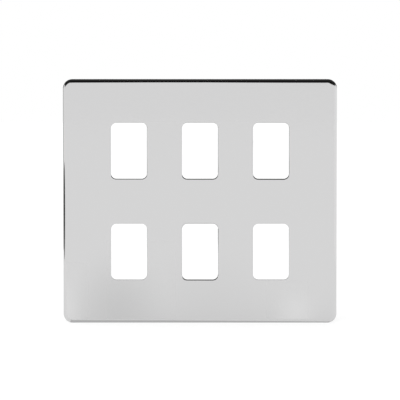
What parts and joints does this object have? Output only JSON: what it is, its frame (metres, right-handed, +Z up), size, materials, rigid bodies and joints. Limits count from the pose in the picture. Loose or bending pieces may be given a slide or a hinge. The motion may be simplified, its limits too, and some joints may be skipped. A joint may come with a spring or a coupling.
{
  "type": "grid switch plate",
  "caption": "Flat screwless grid switch plate in polished chrome with rounded openings for rectangular switch modules, a moulded clip frame and a steel yoke behind it.",
  "frame": {"origin": "middle of the plate in the plane of the wall, which is the middle of the four fixing screws", "axes": "+X to the right seen from the front, +Y into the wall, +Z up; the polished face looks towards -Y"},
  "size_m": [0.147, 0.0238, 0.131],
  "materials": {
    "polished_chrome": "mirror polished",
    "black_moulding": "fine spark-eroded texture",
    "zinc_plated_steel": "bright zinc",
    "screw_steel": "bright zinc",
    "terminal_brass": "machined",
    "spring_bronze": "rolled strip",
    "rivet_steel": "nickel plated"
  },
  "bodies": {
    "root": {"face_plate": "polished_chrome", "clip_frame": "black_moulding", "grid_yoke": "zinc_plated_steel", "fixing_screws": "screw_steel", "earth_terminal": "terminal_brass", "earth_terminal_screw": "screw_steel", "earth_spring": "spring_bronze", "spring_rivet": "rivet_steel"}
  },
  "joints": []
}
